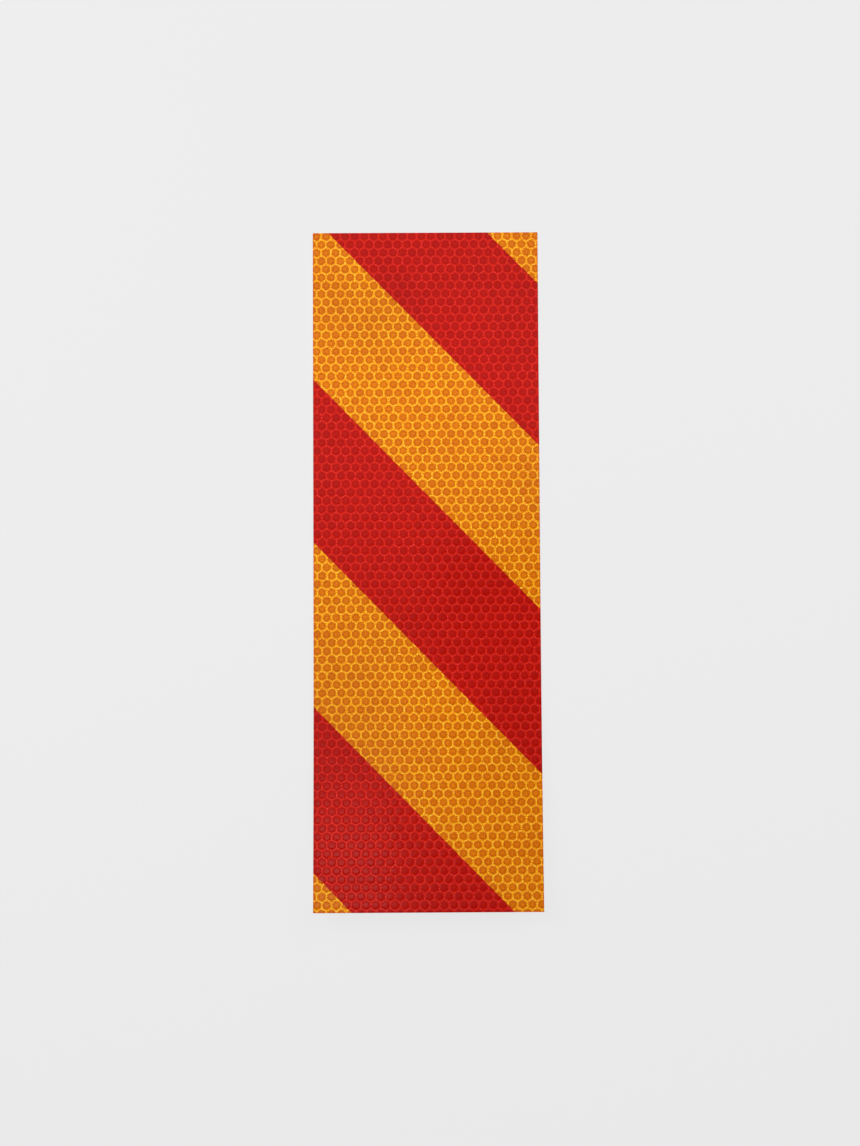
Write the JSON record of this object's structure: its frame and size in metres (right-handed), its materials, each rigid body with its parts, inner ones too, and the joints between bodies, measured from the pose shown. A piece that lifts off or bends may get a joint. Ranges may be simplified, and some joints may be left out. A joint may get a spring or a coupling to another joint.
{
  "type": "reflective sticker",
  "caption": "Rectangular honeycomb reflective sheet with slanting red and amber stripes and an adhesive back, lower end curled.",
  "frame": {"origin": "under the middle of what the lying sheet covers, on the surface that it rests on", "axes": "+Z out of the printed face, +Y along the sheet towards its flat end, +X across it to the right as the picture shows it"},
  "size_m": [0.1, 0.2996, 0.0099],
  "materials": {
    "printed_film": "semi-gloss retroreflective film, amber with red stripes at 45 degrees"
  },
  "bodies": {
    "root": {"reflective_sheet": "printed_film"}
  },
  "joints": []
}
